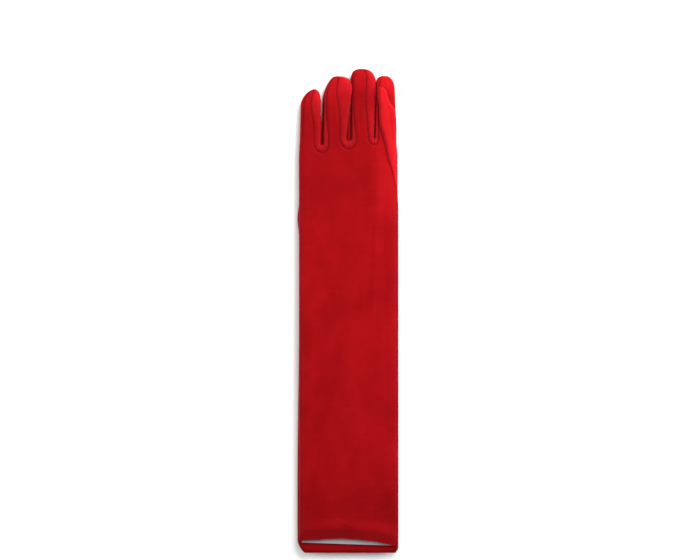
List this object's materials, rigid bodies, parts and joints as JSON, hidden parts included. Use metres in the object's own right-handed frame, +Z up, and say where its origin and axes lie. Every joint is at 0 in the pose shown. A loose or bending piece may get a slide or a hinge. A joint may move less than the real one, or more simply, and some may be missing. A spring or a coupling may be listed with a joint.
{
  "type": "opera gloves",
  "caption": "Pair of long straight-sleeved satin gloves lying flat, one on the other, with sewn-in fingers, folded hems and a stiff card inside each sleeve.",
  "frame": {"origin": "under the middle of the pair, on the surface it lies on", "axes": "+Y runs along the sleeves to the fingertips, +X runs across to the thumb side, +Z is up through the stack"},
  "size_m": [0.1206, 0.58, 0.0155],
  "materials": {
    "body_satin": "satin weave with a soft sheen",
    "finger_satin": "satin weave with a soft sheen",
    "fourchette_satin": "satin weave cut across the grain",
    "hem_satin": "folded satin with one row of stitches",
    "card_stock": "uncoated"
  },
  "bodies": {
    "left_glove": {"left_palm_panel": "body_satin", "left_back_panel": "body_satin", "left_palm_hem": "hem_satin", "left_back_hem": "hem_satin", "left_thumb_base": "finger_satin", "left_pinky_ring_crotch": "fourchette_satin", "left_ring_middle_crotch": "fourchette_satin", "left_middle_index_crotch": "fourchette_satin"},
    "left_pinky": {"left_pinky_back_side": "finger_satin", "left_pinky_palm_side": "finger_satin", "left_pinky_seam": "finger_satin", "left_pinky_fourchette": "fourchette_satin"},
    "left_ring": {"left_ring_back_side": "finger_satin", "left_ring_palm_side": "finger_satin", "left_ring_outer_fourchette": "fourchette_satin", "left_ring_seam": "finger_satin", "left_ring_inner_fourchette": "fourchette_satin"},
    "left_middle": {"left_middle_back_side": "finger_satin", "left_middle_palm_side": "finger_satin", "left_middle_outer_fourchette": "fourchette_satin", "left_middle_seam": "finger_satin", "left_middle_inner_fourchette": "fourchette_satin"},
    "left_index": {"left_index_back_side": "finger_satin", "left_index_palm_side": "finger_satin", "left_index_fourchette": "fourchette_satin", "left_index_seam": "finger_satin"},
    "left_thumb": {"left_thumb_back_side": "finger_satin", "left_thumb_palm_side": "finger_satin", "left_thumb_seam": "finger_satin"},
    "left_card": {"left_card": "card_stock"},
    "right_glove": {"right_palm_panel": "body_satin", "right_back_panel": "body_satin", "right_palm_hem": "hem_satin", "right_back_hem": "hem_satin", "right_thumb_base": "finger_satin", "right_pinky_ring_crotch": "fourchette_satin", "right_ring_middle_crotch": "fourchette_satin", "right_middle_index_crotch": "fourchette_satin"},
    "right_pinky": {"right_pinky_back_side": "finger_satin", "right_pinky_palm_side": "finger_satin", "right_pinky_seam": "finger_satin", "right_pinky_fourchette": "fourchette_satin"},
    "right_ring": {"right_ring_back_side": "finger_satin", "right_ring_palm_side": "finger_satin", "right_ring_outer_fourchette": "fourchette_satin", "right_ring_seam": "finger_satin", "right_ring_inner_fourchette": "fourchette_satin"},
    "right_middle": {"right_middle_back_side": "finger_satin", "right_middle_palm_side": "finger_satin", "right_middle_outer_fourchette": "fourchette_satin", "right_middle_seam": "finger_satin", "right_middle_inner_fourchette": "fourchette_satin"},
    "right_index": {"right_index_back_side": "finger_satin", "right_index_palm_side": "finger_satin", "right_index_fourchette": "fourchette_satin", "right_index_seam": "finger_satin"},
    "right_thumb": {"right_thumb_back_side": "finger_satin", "right_thumb_palm_side": "finger_satin", "right_thumb_seam": "finger_satin"},
    "right_card": {"right_card": "card_stock"}
  },
  "joints": [
    {"name": "right_glove_lift", "type": "slide", "parent": "left_glove", "child": "right_glove", "axis": [0, 0, 1], "range_m": [0, 0.15]},
    {"name": "left_pinky_fold", "type": "hinge", "parent": "left_glove", "child": "left_pinky", "pos_m": [-0.0471, 0.208, 0.0117], "axis": [1, 0, 0], "range_deg": [0, 90]},
    {"name": "left_ring_fold", "type": "hinge", "parent": "left_glove", "child": "left_ring", "pos_m": [-0.0157, 0.208, 0.0117], "axis": [1, 0, 0], "range_deg": [0, 90]},
    {"name": "left_middle_fold", "type": "hinge", "parent": "left_glove", "child": "left_middle", "pos_m": [0.0169, 0.208, 0.0117], "axis": [1, 0, 0], "range_deg": [0, 90]},
    {"name": "left_index_fold", "type": "hinge", "parent": "left_glove", "child": "left_index", "pos_m": [0.0443, 0.208, 0.0155], "axis": [1, 0, 0], "range_deg": [0, 90]},
    {"name": "left_thumb_fold", "type": "hinge", "parent": "left_glove", "child": "left_thumb", "pos_m": [0.0483, 0.208, 0.0155], "axis": [1, 0, 0], "range_deg": [0, 90]},
    {"name": "left_card_slide", "type": "slide", "parent": "left_glove", "child": "left_card", "axis": [0, -1, 0], "range_m": [0, 0.36]},
    {"name": "right_pinky_fold", "type": "hinge", "parent": "right_glove", "child": "right_pinky", "pos_m": [-0.0453, 0.208, 0.0117], "axis": [1, 0, 0], "range_deg": [0, 90]},
    {"name": "right_ring_fold", "type": "hinge", "parent": "right_glove", "child": "right_ring", "pos_m": [-0.0139, 0.208, 0.0117], "axis": [1, 0, 0], "range_deg": [0, 90]},
    {"name": "right_middle_fold", "type": "hinge", "parent": "right_glove", "child": "right_middle", "pos_m": [0.0187, 0.208, 0.0117], "axis": [1, 0, 0], "range_deg": [0, 90]},
    {"name": "right_index_fold", "type": "hinge", "parent": "right_glove", "child": "right_index", "pos_m": [0.0461, 0.208, 0.0155], "axis": [1, 0, 0], "range_deg": [0, 90]},
    {"name": "right_thumb_fold", "type": "hinge", "parent": "right_glove", "child": "right_thumb", "pos_m": [0.0501, 0.208, 0.0155], "axis": [1, 0, 0], "range_deg": [0, 90]},
    {"name": "right_card_slide", "type": "slide", "parent": "right_glove", "child": "right_card", "axis": [0, -1, 0], "range_m": [0, 0.36]}
  ],
  "couplings": [
    {"joint": "left_pinky_fold", "follows": "right_pinky_fold", "ratio": 1},
    {"joint": "left_ring_fold", "follows": "right_ring_fold", "ratio": 1},
    {"joint": "left_middle_fold", "follows": "right_middle_fold", "ratio": 1},
    {"joint": "right_index_fold", "follows": "right_thumb_fold", "ratio": 1},
    {"joint": "left_index_fold", "follows": "right_thumb_fold", "ratio": 1},
    {"joint": "left_thumb_fold", "follows": "right_thumb_fold", "ratio": 1}
  ]
}
